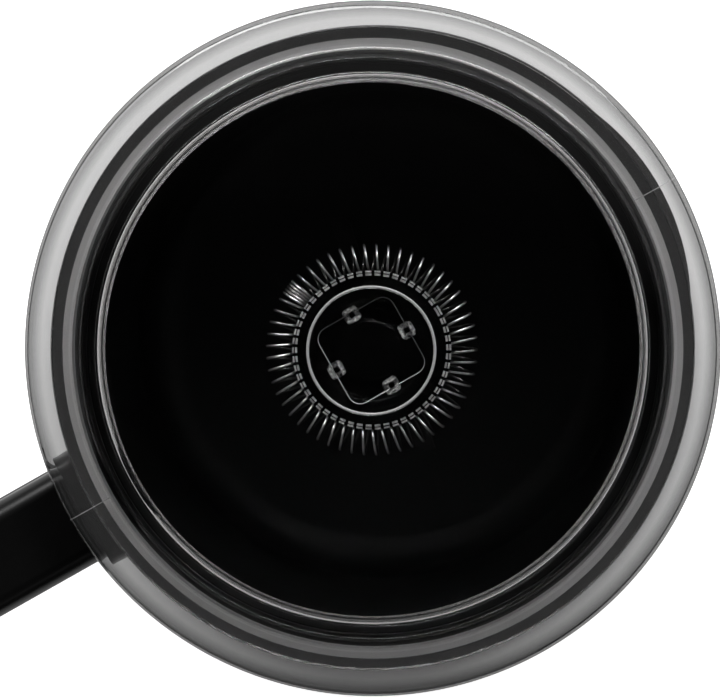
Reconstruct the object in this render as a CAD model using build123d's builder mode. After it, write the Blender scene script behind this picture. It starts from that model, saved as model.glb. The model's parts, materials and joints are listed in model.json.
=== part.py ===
from build123d import *
import math
import os

os.makedirs("parts", exist_ok=True)

# Milk frother: a heated jug with a clear lid and two whisks, standing on a power base.
# Millimetres. The jug's axis is Z and the table is at z = 0.
# The handle points along +X, the pouring lip along -X and the button along -Y.

# Clearances
seat_gap = 0.3  # under a body that lifts off, at rest
lift_gap = 0.5  # around a body that lifts out
fit_gap = 0.1  # between fitted pieces that stay together
running_gap = 0.06  # around a turning shaft or spindle
clip_gap = 0.3  # between the lid's clips and the whisk that they hold

# Small screws, the same size everywhere
screw_radius = 1.25
screw_length = 8.0
screw_head_radius = 2.7
screw_head_height = 1.3

# Power base
base_height = 15.0  # the face that the jug stands on
base_rim = 3.0  # height of the rim round the jug's foot
base_rim_width = 1.6
base_flare = 0.6  # how much wider the base is at its foot
base_wall = 2.4
base_edge = 0.7
base_plate_thickness = 2.0
foot_inset = 8.5
foot_width = 5.0
foot_proud = 0.8
foot_depth = 0.8
base_screw_inset = 7.5  # from the foot ring's inner edge
base_screw_count = 3
base_boss_wall = 2.0

# Round connector of the base and the jug's socket over it
connector_radius = 13.5
connector_height = 9.0
connector_edge = 0.8
connector_flange_radius = 18.0
connector_flange = 2.0
connector_rib_wall = 2.5
slot_radius = 9.2
slot_width = 2.6
slot_depth = 6.5
pin_hole_radius = 2.7
blade_width = 1.2
blade_short = 1.0  # how far the socket's contacts stop above the connector's hollows
pin_radius = 2.0
socket_wall = 2.4
socket_roof = 1.5
socket_flange_width = 3.4
socket_flange = 2.0

# Cord gland, at the back of the base
gland_radius = 4.2
gland_bore = 3.2
gland_length = 9.0
gland_flange_radius = 5.4
gland_flange = 1.2

# Lower housing of the jug
housing_height = 36.0
housing_wall = 2.4
housing_foot = 1.2
neck_height = 4.0
bottom_recess = 1.0
bottom_plate_thickness = 2.2
step_width = 2.2
step_height = 2.0
ledge_width = 3.6
ledge_height = 2.0
vent_count = 12
vent_length = 10.0
vent_width = 1.6
vent_inset = 13.6

# Inner pot
pot_floor_height = 43.0  # above the jug's foot
pot_depth = 92.0
pot_mouth_radius = 44.7
pot_draft = 2.3  # how much narrower the pot is at its floor
pot_lip_width = 1.7
pot_wall = 0.8
pot_corner = 7.0
spindle_radius = 1.5
spindle_height = 9.0
spindle_tip = 0.6

# Steel shell and top collar with its pouring lip
shell_wall = 0.6
shell_air_gap = 0.5  # between the pot and the shell, at the top
shell_flare = 0.4  # how much wider the shell is at its foot
collar_ring = 1.5  # round the pot's lip
collar_skirt = 13.0
collar_seat = 3.6
spout_proud = 1.2
spout_half_angle = 21.0
spout_taper = 12.0

# Drive under the pot's floor
rotor_gap = 0.8
holder_wall = 2.5  # round the magnets
holder_height = 5.5
holder_rise = 1.0
drive_magnet_radius = 4.0
drive_magnet_height = 3.0
drive_magnet_circle = 9.5
magnet_count = 2
bracket_thickness = 2.0
motor_radius = 13.0
motor_height = 17.0
motor_edge = 1.5
motor_boss_radius = 4.0
motor_boss_height = 0.8
shaft_radius = 1.0
shaft_tail = 1.5
heater_width = 6.0
heater_height = 5.0
heater_edge = 1.6
heater_gap_angle = 36.0
terminal_radius = 1.1
terminal_length = 1.8
sensor_radius = 3.4
sensor_gap = 1.8  # to the heater
holder_gap = 2.4  # from the turning holder to the sensor

# Control board, switch, button and light ring
board_drop = 12.4
board_thickness = 1.6
board_clearance = 2.9
board_hole_gap = 3.0
post_radius = 3.0
post_inset = 3.5
post_count = 3
post_angle = 90.0
relay_length = 16.0
relay_width = 12.0
relay_height = 9.5
capacitor_radius = 4.0
capacitor_height = 9.0
component_gap = 4.0
capacitor_count = 2
capacitor_angle = 165.0
capacitor_spread = 60.0
switch_width = 6.2
switch_depth = 3.6
switch_height = 4.4
plunger_radius = 1.0
plunger_length = 1.1
button_radius = 6.0
button_proud = 1.2
button_edge = 0.8
button_flange_radius = 7.2
button_flange = 1.2
button_stem_radius = 1.6
button_travel = 0.6
button_spare = 0.2
light_ring_radius = 7.9
light_ring_gap = 0.3
light_ring_proud = 0.6
light_ring_depth = 3.6

# Handle
handle_width = 15.5
handle_span = 45.0
handle_top_drop = 4.5
handle_foot_rise = 6.5  # of the lower root above the lower housing
handle_thickness = 12.5
handle_cover_thickness = 3.5
handle_corner = 24.0
handle_gap_corner = 12.0
handle_edge = 3.0
handle_cover_edge = 1.2
root_pad_width = 18.5
root_pad_depth = 2.4
tongue_width = 8.0
tongue_height = 5.0
tongue_depth = 0.9
tongue_drop = 4.5  # from the handle's top to the tongue's middle
handle_screw_spacing = 7.0
handle_screw_count = 2

# Clear lid
lid_overhang = 4.0  # beyond the collar
lid_edge_radius = 1.5
lid_wall = 2.0
flange_root = 2.3
seal_seat_rise = 2.5
slope_out = 2.4
panel_inset = 1.5
panel_rise = 3.5
panel_edge_radius = 0.8
centre_rise = 7.0
bead_radius = 9.4
bead_width = 0.5
bead_height = 0.4
skirt_clearance = 2.1  # to the pot's mouth, where the seal goes
skirt_wall = 1.85
skirt_depth = 6.0
skirt_lip = 0.7
skirt_lip_height = 1.0
skirt_corner = 1.2
mark_side = 12.4
mark_corner = 1.8
mark_depth = 0.25

# Four clip fingers under the lid's centre
clip_count = 4
clip_circle = 6.0
clip_width = 2.5
clip_thickness = 1.2
clip_length = 3.6
clip_nub_height = 0.9
window_side = 0.85
window_depth = 1.1

# Silicone seal round the lid's skirt
seal_wall = 0.8
seal_height = 4.0
seal_lip_height = 1.3
seal_lip_thickness = 0.7
seal_lip_gap = 0.45

# Frothing whisk, held in the lid
whisk_drop = 3.5  # from the lid's underside to the spring's middle plane
spring_radius = 13.5
coil_radius = 2.1
wire_radius = 0.225
wire_sides = 4
coil_turns = 57
tight_pitch = 4.5  # degrees round the hub from turn to turn, where the spring's ends meet
tight_reach = 2.5  # turns over which the pitch opens, at each end
join_angle = -66.5
spring_gap = 0.3
hub_height = 4.0
neck_radius = 4.4
clip_well_radius = 7.4
clip_well_depth = 2.7
whisk_bore_depth = 3.0
whisk_magnet_radius = 1.1
whisk_magnet_height = 2.2
whisk_magnet_circle = 9.0
whisk_magnet_angle = 45.0

# Stirring whisk, on the pot's spindle
stirrer_clearance = 0.4
stirrer_disc_radius = 9.0
stirrer_disc_height = 4.0
stirrer_hub_radius = 4.2
stirrer_hub_height = 10.5
stirrer_cap = 0.6
blade_reach = 21.8
blade_breadth = 3.2
blade_thickness = 1.8
blade_count = 2
blade_angle = -101.5
blade_offset = 1.0
blade_chamfer = 1.6
stirrer_edge = 1.0
stirrer_magnet_radius = 2.2
stirrer_magnet_height = 2.2
stirrer_magnet_circle = 6.2

# Radii that follow from the sizes above, from the pot outwards and from the motor's axis outwards
full_turn = 360.0
pot_floor_radius = pot_mouth_radius - pot_draft
pot_lip_radius = pot_mouth_radius + pot_lip_width
shell_inner = pot_mouth_radius + pot_wall + shell_air_gap
shell_top_radius = shell_inner + shell_wall
jug_radius = shell_top_radius + shell_flare
housing_bore = jug_radius - housing_wall
collar_radius = pot_lip_radius + fit_gap + collar_ring
spout_reach = collar_radius + spout_proud
handle_reach = jug_radius + handle_span
dish_radius = jug_radius + lift_gap
base_top_radius = dish_radius + base_rim_width
base_radius = base_top_radius + base_flare
foot_radius = base_radius - foot_inset - foot_width / 2
base_screw_circle = foot_radius - foot_width / 2 - base_screw_inset
vent_circle = housing_bore - vent_inset
lid_radius = collar_radius + lid_overhang
skirt_outer_radius = pot_mouth_radius - skirt_clearance
skirt_inner_radius = skirt_outer_radius - skirt_wall
flange_inner_radius = skirt_outer_radius + flange_root
slope_radius = skirt_outer_radius + slope_out
panel_radius = skirt_outer_radius - panel_inset
holder_radius = drive_magnet_circle + drive_magnet_radius + holder_wall
sensor_circle = holder_radius + holder_gap + sensor_radius
heater_radius = sensor_circle + sensor_radius + sensor_gap + heater_width / 2
board_radius = housing_bore - step_width - board_clearance
board_hole = motor_radius + board_hole_gap
post_circle = board_radius - post_radius - post_inset
component_circle = board_hole + component_gap + relay_width / 2

# Heights that follow from the sizes above
plate_top = foot_proud + base_plate_thickness
base_roof = base_height - base_wall
connector_top = base_height + connector_height
gland_height = (plate_top + base_roof) / 2
jug_bottom = base_height + seat_gap
housing_top = jug_bottom + housing_height
bottom_plate_low = jug_bottom + bottom_recess
bottom_plate_top = bottom_plate_low + bottom_plate_thickness
pot_floor = jug_bottom + pot_floor_height
pot_under = pot_floor - pot_wall
rim = pot_floor + pot_depth
holder_top = pot_under - rotor_gap
holder_low = holder_top - holder_height
bracket_top = holder_low - holder_rise
bracket_low = bracket_top - bracket_thickness
motor_low = bracket_low - motor_height
board_top = bracket_low - board_drop
button_height = board_top + switch_height / 2
collar_low = rim - collar_skirt
shell_top = rim - collar_seat - pot_wall
handle_top = rim - handle_top_drop
handle_low = housing_top + handle_foot_rise
handle_height = handle_top - handle_low
lid_low = rim + seat_gap
lid_centre = lid_low + centre_rise + lid_wall
lid_under = lid_centre - lid_wall
skirt_low = lid_low - skirt_depth
whisk_height = lid_under - whisk_drop
hub_top = whisk_height + hub_height / 2
hub_low = whisk_height - hub_height / 2


# Base: housing with a dish for the jug's foot, a hole for the connector and screw bosses
boss_radius = screw_radius + base_boss_wall
with BuildPart() as base_housing:
    with BuildSketch(Plane.XZ):
        with BuildLine():
            Polyline(
                (base_radius, foot_proud),
                (base_top_radius, base_height + base_rim),
                (dish_radius, base_height + base_rim),
                (dish_radius, base_height),
                (connector_radius + fit_gap, base_height),
                (connector_radius + fit_gap, base_roof),
                (base_top_radius - base_wall, base_roof),
                (base_radius - base_wall, plate_top),
                (base_radius - base_wall, foot_proud),
                close=True,
            )
        make_face()
    revolve(axis=Axis.Z)
    fillet(base_housing.edges().group_by(Axis.Z)[-1].sort_by(SortBy.RADIUS)[-1], base_edge)
    with BuildSketch(Plane.XY.offset(plate_top)):
        with PolarLocations(base_screw_circle, base_screw_count):
            Circle(boss_radius)
    extrude(until=Until.NEXT)
    with BuildSketch(Plane.XY.offset(plate_top)):
        with PolarLocations(base_screw_circle, base_screw_count):
            Circle(screw_radius + running_gap)
    extrude(amount=screw_length - base_plate_thickness + screw_head_height + fit_gap, mode=Mode.SUBTRACT)
    with BuildSketch(Plane.XZ.offset(-base_radius)):
        with Locations((0, gland_height)):
            Circle(gland_radius + fit_gap)
    extrude(amount=gland_length, mode=Mode.SUBTRACT)
base_housing.part.label = "base_housing"
export_step(base_housing.part, "parts/base_housing.step")

# Base: bottom plate with a groove for the foot ring and a rib that holds the connector
rib_top = base_roof - connector_flange
with BuildPart() as base_plate:
    with BuildSketch(Plane.XY.offset(foot_proud)):
        Circle(base_radius - base_wall - fit_gap)
    extrude(amount=base_plate_thickness)
    with BuildSketch(Plane.XY.offset(foot_proud)):
        Circle(foot_radius + foot_width / 2 + fit_gap)
        Circle(foot_radius - foot_width / 2 - fit_gap, mode=Mode.SUBTRACT)
    extrude(amount=foot_depth, mode=Mode.SUBTRACT)
    with BuildSketch(Plane.XY.offset(plate_top)):
        Circle(connector_radius + connector_rib_wall)
        Circle(connector_radius, mode=Mode.SUBTRACT)
    extrude(amount=rib_top - plate_top)
    with Locations(Plane.XY.offset(foot_proud) * Rotation(180, 0, 0)):
        with PolarLocations(base_screw_circle, base_screw_count):
            CounterBoreHole(
                screw_radius + running_gap,
                screw_head_radius + fit_gap,
                screw_head_height,
            )
base_plate.part.label = "base_plate"
export_step(base_plate.part, "parts/base_plate.step")

# Base: rubber ring that the whole stands on
with BuildPart() as foot_ring:
    with BuildSketch():
        Circle(foot_radius + foot_width / 2)
        Circle(foot_radius - foot_width / 2, mode=Mode.SUBTRACT)
    extrude(amount=foot_proud + foot_depth)
foot_ring.part.label = "foot_ring"
export_step(foot_ring.part, "parts/foot_ring.step")

# Base: round connector that lets the jug be set down at any angle
slot_low = connector_top - slot_depth
with BuildPart() as base_connector:
    with BuildSketch(Plane.XY.offset(rib_top)):
        Circle(connector_flange_radius)
    extrude(amount=connector_flange)
    with BuildSketch(Plane.XY.offset(base_roof)):
        Circle(connector_radius)
    extrude(amount=connector_top - base_roof)
    chamfer(base_connector.edges().group_by(Axis.Z)[-1], connector_edge)
    with BuildSketch(Plane.XY.offset(connector_top)):
        Circle(slot_radius + slot_width / 2)
        Circle(slot_radius - slot_width / 2, mode=Mode.SUBTRACT)
        Circle(pin_hole_radius)
    extrude(amount=-slot_depth, mode=Mode.SUBTRACT)
base_connector.part.label = "base_connector"
export_step(base_connector.part, "parts/base_connector.step")

# Base: gland bush in the back wall, where the mains lead goes in
with BuildPart() as cord_gland:
    with BuildSketch(Plane.XZ.offset(-base_radius)):
        with Locations((0, gland_height)):
            Circle(gland_flange_radius)
    extrude(amount=-gland_flange)
    with BuildSketch(Plane.XZ.offset(-base_radius)):
        with Locations((0, gland_height)):
            Circle(gland_radius)
    extrude(amount=gland_length)
    with BuildSketch(Plane.XZ.offset(-base_radius - gland_flange)):
        with Locations((0, gland_height)):
            Circle(gland_bore)
    extrude(amount=gland_length + gland_flange, mode=Mode.SUBTRACT)
cord_gland.part.label = "cord_gland"
export_step(cord_gland.part, "parts/cord_gland.step")

# Base: screws, driven up from below
with BuildPart() as base_screws:
    with BuildSketch(Plane.XY.offset(foot_proud)):
        with PolarLocations(base_screw_circle, base_screw_count):
            Circle(screw_head_radius)
    extrude(amount=screw_head_height)
    with BuildSketch(Plane.XY.offset(foot_proud + screw_head_height)):
        with PolarLocations(base_screw_circle, base_screw_count):
            Circle(screw_radius)
    extrude(amount=screw_length)
base_screws.part.label = "base_screws"
export_step(base_screws.part, "parts/base_screws.step")

# Jug: lower housing with a step for the bottom plate, a ledge for the bracket and a neck for the shell
neck_radius_outer = jug_radius - shell_wall - fit_gap
with BuildPart() as lower_housing:
    with BuildSketch(Plane.XZ):
        with BuildLine():
            Polyline(
                (jug_radius - housing_foot, jug_bottom),
                (jug_radius, jug_bottom + housing_foot),
                (jug_radius, housing_top),
                (neck_radius_outer, housing_top),
                (neck_radius_outer, housing_top + neck_height),
                (housing_bore, housing_top + neck_height),
                (housing_bore, bracket_low),
                (housing_bore - ledge_width, bracket_low),
                (housing_bore, bracket_low - ledge_width - ledge_height),
                (housing_bore, bottom_plate_top + step_height + step_width),
                (housing_bore - step_width, bottom_plate_top + step_height),
                (housing_bore - step_width, bottom_plate_top),
                (housing_bore, bottom_plate_top),
                (housing_bore, jug_bottom),
                close=True,
            )
        make_face()
    revolve(axis=Axis.Z)
    with BuildSketch(Plane.XZ.offset(jug_radius)):
        with Locations((0, button_height)):
            Circle(light_ring_radius + fit_gap)
    extrude(amount=board_radius - jug_radius, mode=Mode.SUBTRACT)
lower_housing.part.label = "lower_housing"
export_step(lower_housing.part, "parts/lower_housing.step")

# Jug: bottom plate with a hole for the socket and a ring of vent slots
socket_bore = connector_radius + lift_gap
socket_radius = socket_bore + socket_wall
with BuildPart() as bottom_plate:
    with BuildSketch(Plane.XY.offset(bottom_plate_low)):
        Circle(housing_bore - fit_gap)
        Circle(socket_radius + fit_gap, mode=Mode.SUBTRACT)
        with PolarLocations(vent_circle, vent_count):
            SlotOverall(vent_length, vent_width, mode=Mode.SUBTRACT)
    extrude(amount=bottom_plate_thickness)
bottom_plate.part.label = "bottom_plate"
export_step(bottom_plate.part, "parts/bottom_plate.step")

# Jug: socket that drops over the base's connector, with a ring contact and a centre pin
socket_under = connector_top + lift_gap
contact_low = slot_low + blade_short
with BuildPart() as jug_socket:
    with BuildSketch(Plane.XY.offset(bottom_plate_low)):
        Circle(socket_radius)
    extrude(amount=socket_under + socket_roof - bottom_plate_low)
    with BuildSketch(Plane.XY.offset(bottom_plate_top)):
        Circle(socket_radius + socket_flange_width)
    extrude(amount=socket_flange)
    with BuildSketch(Plane.XY.offset(bottom_plate_low)):
        Circle(socket_bore)
    extrude(amount=socket_under - bottom_plate_low, mode=Mode.SUBTRACT)
    with BuildSketch(Plane.XY.offset(contact_low)):
        Circle(slot_radius + blade_width / 2)
        Circle(slot_radius - blade_width / 2, mode=Mode.SUBTRACT)
        Circle(pin_radius)
    extrude(amount=socket_under - contact_low)
jug_socket.part.label = "jug_socket"
export_step(jug_socket.part, "parts/jug_socket.step")

# Jug: drawn pot with a rounded floor corner, a slight taper and a turned-out lip
with BuildPart() as inner_pot:
    with BuildSketch(Plane.XZ):
        with BuildLine():
            inside = Line((0, pot_floor), (pot_floor_radius - pot_corner, pot_floor))
            bend = TangentArc(
                inside @ 1,
                (pot_floor_radius, pot_floor + pot_corner),
                tangent=inside % 1,
            )
            wall = Line(bend @ 1, (pot_mouth_radius, rim))
            lip = Polyline(
                wall @ 1,
                (pot_lip_radius, rim),
                (pot_lip_radius, rim - pot_wall),
                (pot_mouth_radius + pot_wall, rim - pot_wall),
                (pot_floor_radius + pot_wall, pot_floor + pot_corner),
            )
            outer_bend = TangentArc(
                lip @ 1,
                (pot_floor_radius - pot_corner, pot_under),
                tangent=(0, -1),
            )
            Polyline(outer_bend @ 1, (0, pot_under), (0, pot_floor))
        make_face()
    revolve(axis=Axis.Z)
inner_pot.part.label = "inner_pot"
export_step(inner_pot.part, "parts/inner_pot.step")

# Jug: spindle on the pot's floor, on which either whisk turns
with BuildPart() as spindle:
    with BuildSketch(Plane.XY.offset(pot_floor)):
        Circle(spindle_radius)
    extrude(amount=spindle_height)
    chamfer(spindle.edges().group_by(Axis.Z)[-1], spindle_tip)
spindle.part.label = "spindle"
export_step(spindle.part, "parts/spindle.step")

# Jug: tapered sheet-steel shell
with BuildPart() as outer_shell:
    with BuildSketch(Plane.XZ):
        with BuildLine():
            Polyline(
                (jug_radius, housing_top),
                (shell_top_radius, shell_top),
                (shell_inner, shell_top),
                (jug_radius - shell_wall, housing_top),
                close=True,
            )
        make_face()
    revolve(axis=Axis.Z)
    with BuildSketch(Plane.YZ.offset(jug_radius)):
        with Locations((0, handle_low + handle_thickness / 2)):
            with GridLocations(handle_screw_spacing, 0, handle_screw_count, 1):
                Circle(screw_radius + fit_gap)
    extrude(amount=pot_floor_radius - jug_radius, mode=Mode.SUBTRACT)
outer_shell.part.label = "outer_shell"
export_step(outer_shell.part, "parts/outer_shell.step")

# Jug: top collar that carries the pot's lip, with a pouring lip and a pocket for the handle's tongue
collar_bore = pot_mouth_radius + pot_wall + fit_gap
spout_chord = collar_radius * math.sin(math.radians(spout_half_angle))
spout_bulge = spout_reach - collar_radius * math.cos(math.radians(spout_half_angle))
spout_radius = (spout_chord**2 + spout_bulge**2) / (2 * spout_bulge)
tongue_level = handle_top - tongue_drop
with BuildPart() as top_collar:
    with BuildSketch(Plane.XY.offset(collar_low)):
        Circle(collar_radius)
    extrude(amount=collar_skirt)
    spout_foot = spout_radius - collar_skirt * math.tan(math.radians(spout_taper))
    with Locations((spout_radius - spout_reach, 0, rim - collar_skirt / 2)):
        Cone(spout_foot, spout_radius, collar_skirt)
    with BuildSketch(Plane.XZ):
        with BuildLine():
            Polyline(
                (0, rim),
                (pot_lip_radius + fit_gap, rim),
                (pot_lip_radius + fit_gap, rim - pot_wall),
                (collar_bore, rim - pot_wall),
                (collar_bore, shell_top),
                (shell_top_radius + fit_gap, shell_top),
                (shell_top_radius + fit_gap * 2, collar_low),
                (0, collar_low),
                close=True,
            )
        make_face()
    revolve(axis=Axis.Z, mode=Mode.SUBTRACT)
    with BuildSketch(Plane.YZ.offset(collar_radius)):
        with Locations((0, tongue_level)):
            Rectangle(tongue_width + fit_gap * 2, tongue_height + fit_gap * 2)
    extrude(amount=-tongue_depth - fit_gap, mode=Mode.SUBTRACT)
top_collar.part.label = "top_collar"
export_step(top_collar.part, "parts/top_collar.step")

# Jug: what the handle's roots are shaped against, the outside of housing, shell and collar
with BuildPart() as jug_outside:
    with BuildSketch(Plane.XZ):
        with BuildLine():
            Polyline(
                (0, jug_bottom),
                (jug_radius + fit_gap, jug_bottom),
                (jug_radius + fit_gap, housing_top),
                (shell_top_radius + fit_gap * 2, collar_low - fit_gap),
                (collar_radius + fit_gap, collar_low - fit_gap),
                (collar_radius + fit_gap, rim),
                (0, rim),
                close=True,
            )
        make_face()
    revolve(axis=Axis.Z)

# Jug: handle shell, a D loop with wide roots and a tongue that enters the collar
handle_mid = handle_top - handle_height / 2
handle_inside = handle_reach - handle_thickness
gap_height = handle_height - 2 * handle_thickness
cover_height = gap_height + 2 * handle_cover_thickness
cover_reach = handle_inside + handle_cover_thickness
screw_level = handle_low + handle_thickness / 2
with BuildPart() as handle_shell:
    with BuildSketch(Plane.XZ) as handle_outline:
        with Locations((0, handle_mid)):
            Rectangle(handle_reach, handle_height, align=(Align.MIN, Align.CENTER))
        fillet(handle_outline.vertices().group_by(Axis.X)[-1], handle_corner)
    extrude(amount=handle_width / 2, both=True)
    fillet(handle_shell.edges().filter_by(GeomType.LINE, reverse=True), handle_edge)
    with BuildSketch(Plane.YZ):
        with Locations((0, handle_top - handle_thickness / 2), (0, screw_level)):
            RectangleRounded(root_pad_width, handle_thickness, handle_edge)
    extrude(amount=collar_radius + root_pad_depth)
    with BuildSketch(Plane.XZ) as cover_outline:
        with Locations((0, handle_mid)):
            Rectangle(cover_reach + fit_gap, cover_height + 2 * fit_gap, align=(Align.MIN, Align.CENTER))
        fillet(
            cover_outline.vertices().group_by(Axis.X)[-1],
            handle_gap_corner + handle_cover_thickness + fit_gap,
        )
    extrude(amount=root_pad_width, both=True, mode=Mode.SUBTRACT)
    add(jug_outside.part, mode=Mode.SUBTRACT)
    with BuildSketch(Plane.YZ.offset(collar_radius - tongue_depth)):
        with Locations((0, tongue_level)):
            Rectangle(tongue_width, tongue_height)
    extrude(amount=tongue_depth + root_pad_depth)
    with BuildSketch(Plane.YZ):
        with Locations((0, screw_level)):
            with GridLocations(handle_screw_spacing, 0, handle_screw_count, 1):
                Circle(screw_radius + running_gap)
    extrude(amount=jug_radius + screw_length, mode=Mode.SUBTRACT)
handle_shell.part.label = "handle_shell"
export_step(handle_shell.part, "parts/handle_shell.step")

# Jug: handle cover, the liner on the fingers' side
with BuildPart() as handle_cover:
    with BuildSketch(Plane.XZ) as liner_outline:
        with Locations((0, handle_mid)):
            Rectangle(cover_reach, cover_height, align=(Align.MIN, Align.CENTER))
        fillet(
            liner_outline.vertices().group_by(Axis.X)[-1],
            handle_gap_corner + handle_cover_thickness,
        )
    extrude(amount=handle_width / 2, both=True)
    with BuildSketch(Plane.XZ) as gap_outline:
        with Locations((0, handle_mid)):
            Rectangle(handle_inside, gap_height, align=(Align.MIN, Align.CENTER))
        fillet(gap_outline.vertices().group_by(Axis.X)[-1], handle_gap_corner)
    extrude(amount=handle_width / 2, both=True, mode=Mode.SUBTRACT)
    finger_edges = handle_cover.edges(Select.LAST).filter_by(Axis.Y, reverse=True)
    fillet(finger_edges.filter_by(lambda edge: edge.center().X > 0), handle_cover_edge)
    add(jug_outside.part, mode=Mode.SUBTRACT)
handle_cover.part.label = "handle_cover"
export_step(handle_cover.part, "parts/handle_cover.step")

# Jug: screws that hold the handle's lower root, driven outwards through the shell
screw_seat = math.sqrt((shell_inner - fit_gap) ** 2 - (handle_screw_spacing / 2 + screw_head_radius) ** 2)
with BuildPart() as handle_screws:
    with BuildSketch(Plane.YZ.offset(screw_seat)):
        with Locations((0, screw_level)):
            with GridLocations(handle_screw_spacing, 0, handle_screw_count, 1):
                Circle(screw_head_radius)
    extrude(amount=-screw_head_height)
    with BuildSketch(Plane.YZ.offset(screw_seat)):
        with Locations((0, screw_level)):
            with GridLocations(handle_screw_spacing, 0, handle_screw_count, 1):
                Circle(screw_radius)
    extrude(amount=screw_length)
handle_screws.part.label = "handle_screws"
export_step(handle_screws.part, "parts/handle_screws.step")

# Drive: bracket plate on the housing's ledge, with posts for the control board
bracket_radius = housing_bore - fit_gap
with BuildPart() as motor_bracket:
    with BuildSketch(Plane.XY.offset(bracket_low)):
        Circle(bracket_radius)
        Circle(motor_boss_radius + fit_gap, mode=Mode.SUBTRACT)
    extrude(amount=bracket_thickness)
    with BuildSketch(Plane.XY.offset(bracket_low)):
        with PolarLocations(post_circle, post_count, start_angle=post_angle):
            Circle(post_radius)
    extrude(amount=-board_drop)
motor_bracket.part.label = "motor_bracket"
export_step(motor_bracket.part, "parts/motor_bracket.step")

# Drive: motor can, hung under the bracket with its bearing boss in the bracket's hole
with BuildPart() as motor:
    with BuildSketch(Plane.XY.offset(motor_low)):
        Circle(motor_radius)
    extrude(amount=motor_height)
    fillet(motor.edges().group_by(Axis.Z)[0], motor_edge)
    with BuildSketch(Plane.XY.offset(bracket_low)):
        Circle(motor_boss_radius)
    extrude(amount=motor_boss_height)
    with BuildSketch(Plane.XY.offset(motor_low + shaft_tail)):
        Circle(shaft_radius + running_gap)
    extrude(amount=motor_height, mode=Mode.SUBTRACT)
motor.part.label = "motor"
export_step(motor.part, "parts/motor.step")

# Drive: motor shaft
shaft_low = motor_low + shaft_tail + seat_gap
with BuildPart() as motor_shaft:
    with BuildSketch(Plane.XY.offset(shaft_low)):
        Circle(shaft_radius)
    extrude(amount=holder_top - rotor_gap - shaft_low)
motor_shaft.part.label = "motor_shaft"
export_step(motor_shaft.part, "parts/motor_shaft.step")

# Drive: magnet holder on the shaft, close under the pot's floor
with BuildPart() as magnet_holder:
    with BuildSketch(Plane.XY.offset(holder_low)):
        Circle(holder_radius)
    extrude(amount=holder_height)
    with BuildSketch(Plane.XY.offset(holder_low)):
        Circle(shaft_radius)
    extrude(amount=holder_height - rotor_gap, mode=Mode.SUBTRACT)
    with BuildSketch(Plane.XY.offset(holder_top)):
        with PolarLocations(drive_magnet_circle, magnet_count):
            Circle(drive_magnet_radius + fit_gap)
    extrude(amount=-drive_magnet_height, mode=Mode.SUBTRACT)
magnet_holder.part.label = "magnet_holder"
export_step(magnet_holder.part, "parts/magnet_holder.step")

# Drive: magnets that pull the whisk round through the pot's floor
with BuildPart() as drive_magnets:
    with BuildSketch(Plane.XY.offset(holder_top)):
        with PolarLocations(drive_magnet_circle, magnet_count):
            Circle(drive_magnet_radius)
    extrude(amount=-drive_magnet_height)
drive_magnets.part.label = "drive_magnets"
export_step(drive_magnets.part, "parts/drive_magnets.step")

# Heater: an open ring of sheathed element against the pot's floor, with two terminals
heater_low = pot_under - heater_height
heater_half = heater_width / 2
terminal_inset = math.degrees(heater_half / heater_radius)
with BuildPart() as heater_ring:
    with BuildSketch(Plane.XZ):
        with BuildLine():
            Polyline(
                (heater_radius - heater_half, heater_low + heater_edge),
                (heater_radius - heater_half, pot_under),
                (heater_radius + heater_half, pot_under),
                (heater_radius + heater_half, heater_low + heater_edge),
                (heater_radius + heater_half - heater_edge, heater_low),
                (heater_radius - heater_half + heater_edge, heater_low),
                close=True,
            )
        make_face()
    revolve(axis=Axis.Z, revolution_arc=full_turn - heater_gap_angle)
    with BuildSketch(Plane.XY.offset(heater_low + heater_edge)):
        for end_angle in (terminal_inset, -heater_gap_angle - terminal_inset):
            with PolarLocations(heater_radius, 1, start_angle=end_angle):
                Circle(terminal_radius)
    extrude(amount=-heater_edge - terminal_length)
heater_ring.part.label = "heater_ring"
export_step(heater_ring.part, "parts/heater_ring.step")

# Heater: temperature sensor that stands on the bracket and touches the pot's floor
with BuildPart() as temperature_sensor:
    with BuildSketch(Plane.XY.offset(bracket_top)):
        with Locations((0, sensor_circle)):
            Circle(sensor_radius)
    extrude(amount=pot_under - bracket_top)
temperature_sensor.part.label = "temperature_sensor"
export_step(temperature_sensor.part, "parts/temperature_sensor.step")

# Controls: ring-shaped control board under the bracket's posts, with its larger components
with BuildPart() as control_board:
    with BuildSketch(Plane.XY.offset(board_top)):
        Circle(board_radius)
        Circle(board_hole, mode=Mode.SUBTRACT)
    extrude(amount=-board_thickness)
    with BuildSketch(Plane.XY.offset(board_top)):
        with Locations((component_circle, 0)):
            Rectangle(relay_width, relay_length)
    extrude(amount=relay_height)
    with BuildSketch(Plane.XY.offset(board_top)):
        with PolarLocations(component_circle, capacitor_count, capacitor_angle, capacitor_spread):
            Circle(capacitor_radius)
    extrude(amount=capacitor_height)
control_board.part.label = "control_board"
export_step(control_board.part, "parts/control_board.step")

# Controls: push switch at the board's front edge, its plunger towards the button
with BuildPart() as push_switch:
    with BuildSketch(Plane.XY.offset(board_top)):
        with Locations((0, -board_radius + fit_gap + switch_depth / 2)):
            Rectangle(switch_width, switch_depth)
    extrude(amount=switch_height)
    with BuildSketch(Plane.XZ.offset(board_radius - fit_gap)):
        with Locations((0, button_height)):
            Circle(plunger_radius)
    extrude(amount=plunger_length)
push_switch.part.label = "push_switch"
export_step(push_switch.part, "parts/push_switch.step")

# Controls: light ring in the housing's front wall, round the button
ring_front = jug_radius + light_ring_proud
ring_back = ring_front - light_ring_depth
with BuildPart() as light_ring:
    with BuildSketch(Plane.XZ.offset(ring_back)):
        with Locations((0, button_height)):
            Circle(light_ring_radius)
            Circle(button_radius + light_ring_gap, mode=Mode.SUBTRACT)
    extrude(amount=light_ring_depth)
light_ring.part.label = "light_ring"
export_step(light_ring.part, "parts/light_ring.step")

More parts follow.
